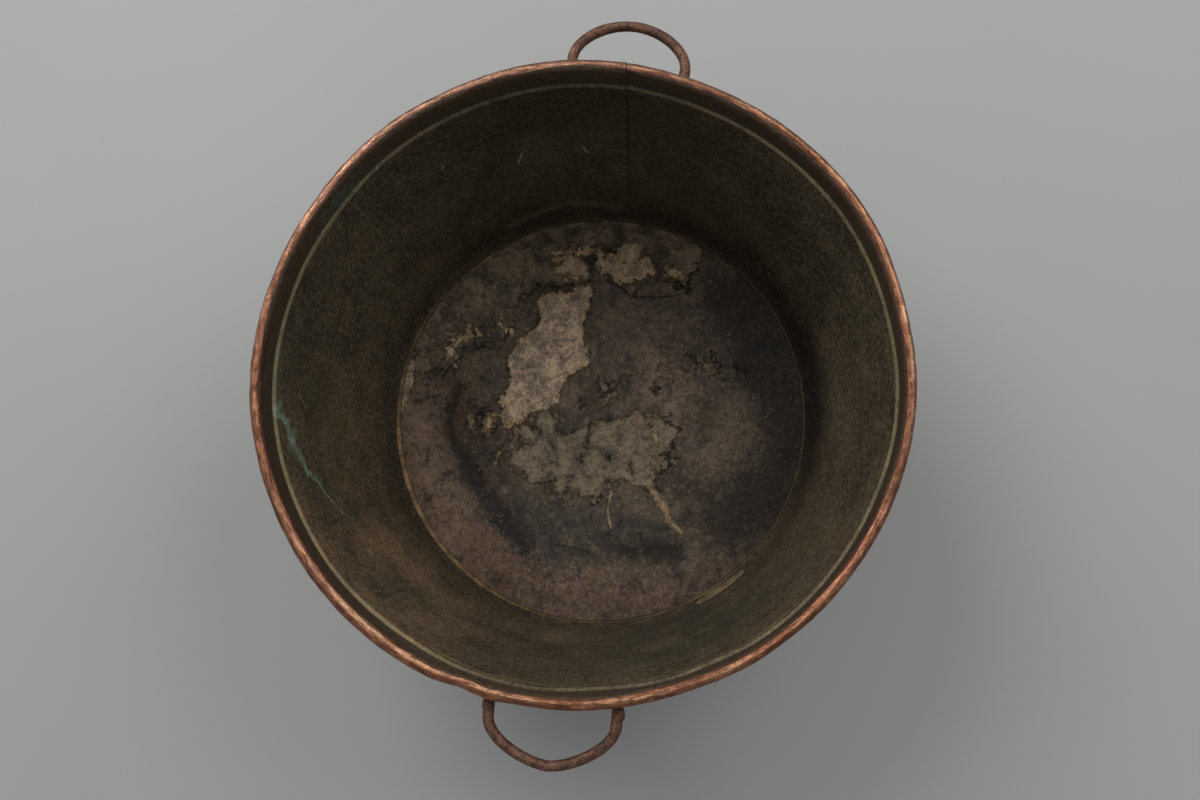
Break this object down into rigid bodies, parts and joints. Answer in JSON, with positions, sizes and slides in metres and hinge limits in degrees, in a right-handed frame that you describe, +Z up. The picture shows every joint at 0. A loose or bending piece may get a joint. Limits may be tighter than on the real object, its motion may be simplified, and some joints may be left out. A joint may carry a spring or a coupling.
{
  "type": "copper cauldron",
  "caption": "Large open copper cauldron with a tapered wall, a straight neck, a rolled rim and forged iron bow handles under it.",
  "frame": {"origin": "centre of the underside of the bottom sheet, where the cauldron stands", "axes": "+Z up through the open mouth; +Y towards the wall's lap seam and the back handle; the front handle is near -Y"},
  "size_m": [0.68, 0.7917, 0.35],
  "materials": {
    "copper_wall": "old copper with an olive-brown patina inside and worn bright on the rolled rim",
    "copper_floor": "old copper, mottled dark brown with tan scale",
    "brass_braze": "dull golden brazing",
    "iron_wire": "rusted wire",
    "old_solder": "dull pale brown solder",
    "forged_iron": "forged, dark brown rust, rubbed smooth by hands",
    "copper_rivet": "hammered copper rivet head"
  },
  "bodies": {
    "root": {"wall_sheet": "copper_wall", "floor_sheet": "copper_floor", "floor_braze": "brass_braze", "rim_wire": "iron_wire", "foot_patch": "old_solder", "handle_back": "forged_iron", "handle_front": "forged_iron", "rivet_back_1": "copper_rivet", "rivet_back_2": "copper_rivet", "rivet_back_3": "copper_rivet", "rivet_back_4": "copper_rivet", "rivet_front_1": "copper_rivet", "rivet_front_2": "copper_rivet", "rivet_front_3": "copper_rivet", "rivet_front_4": "copper_rivet"}
  },
  "joints": []
}
